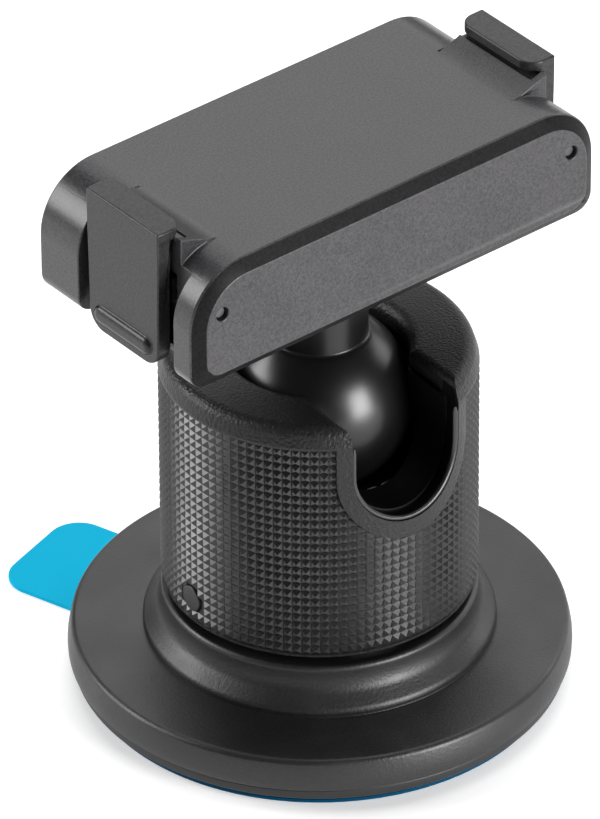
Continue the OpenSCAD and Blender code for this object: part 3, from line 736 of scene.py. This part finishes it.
def make_clip(name, side, body, node):
    """A sprung clip, made on the +X side and mirrored for the other."""
    wall, lip_t, lip_reach = 1.35, 0.95, 2.75
    fillet, corner, tip = 0.45, 1.8, 1.5
    z0, z1, x1 = CLIP_Z0, CLIP_Z1, CLIP_X
    profile = [(x1, z0), (x1, z1), (x1 - lip_reach, z1), (x1 - lip_reach, z1 - lip_t)]
    profile += arc(x1 - wall - fillet, z1 - lip_t - fillet, fillet, 90, 0, 6)
    profile += [(x1 - wall, z0)]
    clip = prism(name, profile, "y", -CLIP_Y - 1, CLIP_Y + 1)
    low_half = CLIP_Y - 0.2
    face = arc(low_half - corner, z0 + corner, corner, -90, 0, 12)
    face += [(CLIP_Y, z1 - 2), (CLIP_Y, z1 + 1), (-CLIP_Y, z1 + 1), (-CLIP_Y, z1 - 2)]
    face += arc(-low_half + corner, z0 + corner, corner, 180, 270, 12)
    carve(clip, prism("face", face, "x", x1 - 5, x1 + 1), "INTERSECT")
    x_tip = x1 - lip_reach
    plan = arc(x_tip + tip, CLIP_Y - tip, tip, 90, 180, 12)
    plan += arc(x_tip + tip, -CLIP_Y + tip, tip, 180, 270, 12)
    plan += [(x1 + 1, -CLIP_Y), (x1 + 1, CLIP_Y)]
    carve(clip, prism("plan", plan, "z", z0 - 1, z1 + 1), "INTERSECT")
    # hinge knuckles
    lug_r, lug_x, spring_half = 1.15, x1 - wall + 0.3, 1.7
    lug = arc(PIN_X, PIN_Z, lug_r, 90, 270, 16) + [(lug_x, PIN_Z - lug_r), (lug_x, PIN_Z + lug_r)]
    for y0, y1 in ((-low_half, -spring_half), (spring_half, low_half)):
        carve(clip, prism("lug", lug, "y", y0, y1), "UNION")
    carve(clip, prism("bore", arc(PIN_X, PIN_Z, PIN_R + 0.05, 0, 350, 35), "y", -9, 9))
    # rounded finger rib
    rib_half, rib_r, rib_z = 3.7, 0.85, SEAT_TOP - 9.7
    rings = []
    for k in range(7):
        t = math.radians(90 * k / 6)
        out = x1 - 0.1 + (RIB_OUT + 0.1) * math.sin(t)
        w = rib_r * (1 - 0.75 * (1 - math.cos(t)))
        pill = arc(rib_half - rib_r, rib_z, w, -90, 90, 12)
        pill += arc(-rib_half + rib_r, rib_z, w, 90, 270, 12)
        rings.append([(out, u, v) for u, v in pill])
    carve(clip, loft("rib", rings), "UNION")
    clip.data.transform(Matrix.Translation((0, CLIP_MID_Y * MM, 0)))
    if side < 0:
        mirror_x(clip)
    soften(clip, 0.17, 3, angle=30, smooth=34, seams=True)
    dress(clip, "clip_plastic", body, node)


# ------------------------------------------------------------ CAD nodes that stay


def dress_nodes():
    """Gives every CAD node the material of its slot."""
    slots = {s["node"]: s["material_slot"] for s in record["subparts"]}
    for name, obj in frame["nodes"].items():
        obj.data.materials.clear()
        obj.data.materials.append(MATERIAL[slots[name]])
        obj.data.polygons.foreach_set("use_smooth", [True] * len(obj.data.polygons))
        obj.data.set_sharp_from_angle(angle=math.radians(30))


# ------------------------------------------------------------ floor, light, camera

AZIMUTH, ELEVATION, ROLL = math.radians(-39.15), math.radians(34.78), math.radians(-0.37)
DISTANCE = 830.0
TARGET_Z = 25.0
SHIFT_RIGHT, SHIFT_UP = -1.58, 0.83
LENS = 593.2

# the camera's axes: back along its view, and right and up in its picture
back = Vector((math.sin(AZIMUTH) * math.cos(ELEVATION), -math.cos(AZIMUTH) * math.cos(ELEVATION),
               math.sin(ELEVATION)))
level = Vector((math.cos(AZIMUTH), math.sin(AZIMUTH), 0))
upright = back.cross(level)
right = level * math.cos(ROLL) + upright * math.sin(ROLL)
up = upright * math.cos(ROLL) - level * math.sin(ROLL)


def make_camera():
    """A long lens from the front left and above."""
    data = bpy.data.cameras.new("camera")
    data.lens = LENS
    data.sensor_width = 36
    data.sensor_fit = "HORIZONTAL"
    data.clip_start = 0.05
    cam = bpy.data.objects.new("camera", data)
    bpy.context.scene.collection.objects.link(cam)
    place = Vector((0, 0, TARGET_Z)) + right * SHIFT_RIGHT + up * SHIFT_UP + back * DISTANCE
    cam.matrix_world = Matrix((
        (right.x, up.x, back.x, place.x * MM),
        (right.y, up.y, back.y, place.y * MM),
        (right.z, up.z, back.z, place.z * MM),
        (0, 0, 0, 1)))
    bpy.context.scene.camera = cam


def softbox(name, azimuth, elevation, distance, width, height, power):
    """An area light aimed at the part; azimuth is from the camera's side, to the right."""
    a = math.radians(azimuth) + AZIMUTH
    e = math.radians(elevation)
    to_light = Vector((math.sin(a) * math.cos(e), -math.cos(a) * math.cos(e), math.sin(e)))
    data = bpy.data.lights.new(name, "AREA")
    data.shape = "RECTANGLE"
    data.size = width
    data.size_y = height
    data.energy = power
    lamp = bpy.data.objects.new(name, data)
    bpy.context.scene.collection.objects.link(lamp)
    lamp.location = Vector((0, 0, 30 * MM)) + to_light * distance
    lamp.rotation_euler = to_light.to_track_quat("Z", "Y").to_euler()
    return lamp


def make_stage():
    """The plain pale floor and the soft studio light."""
    half = 3000.0
    corners = [(-half, -half, 0), (half, -half, 0), (half, half, 0), (-half, half, 0)]
    floor = new_object("floor", corners, [[0, 1, 2, 3]])
    floor.location.z = -0.02 * MM
    mat = bpy.data.materials.new("floor_white")
    mat.use_nodes = True
    shader = mat.node_tree.nodes["Principled BSDF"]
    shader.inputs["Base Color"].default_value = (0.9, 0.9, 0.9, 1)
    shader.inputs["Roughness"].default_value = 0.7
    shader.inputs["Specular IOR Level"].default_value = 0.2
    shader.inputs["Emission Color"].default_value = (1, 1, 1, 1)
    shader.inputs["Emission Strength"].default_value = 0.3
    floor.data.materials.append(mat)

    world = bpy.data.worlds.new("studio")
    world.use_nodes = True
    background = world.node_tree.nodes["Background"]
    background.inputs["Color"].default_value = (1, 1, 1, 1)
    background.inputs["Strength"].default_value = 0.05
    bpy.context.scene.world = world
    softbox("top_box", 180, 73, 1.2, 0.9, 0.9, 7.5)
    softbox("back_box", 170, 33, 1.2, 1.5, 0.7, 5.8)
    softbox("side_box", 125, 22, 0.9, 0.4, 0.5, 1.8)
    softbox("right_box", 52, 12, 0.7, 0.28, 0.36, 6.6)
    softbox("left_box", -96, 25, 0.8, 0.4, 0.4, 5.0)
    bpy.context.scene.view_settings.view_transform = "Standard"


make_camera()
dress_nodes()
make_base()
make_liner()
make_collar()
make_knurl()
make_plug()
make_rim()
make_core()
make_stud()
make_seat()
make_clip("clip_right_body", 1, "right_clip", "clip_right")
make_clip("clip_left_body", -1, "left_clip", "clip_left")
make_stage()
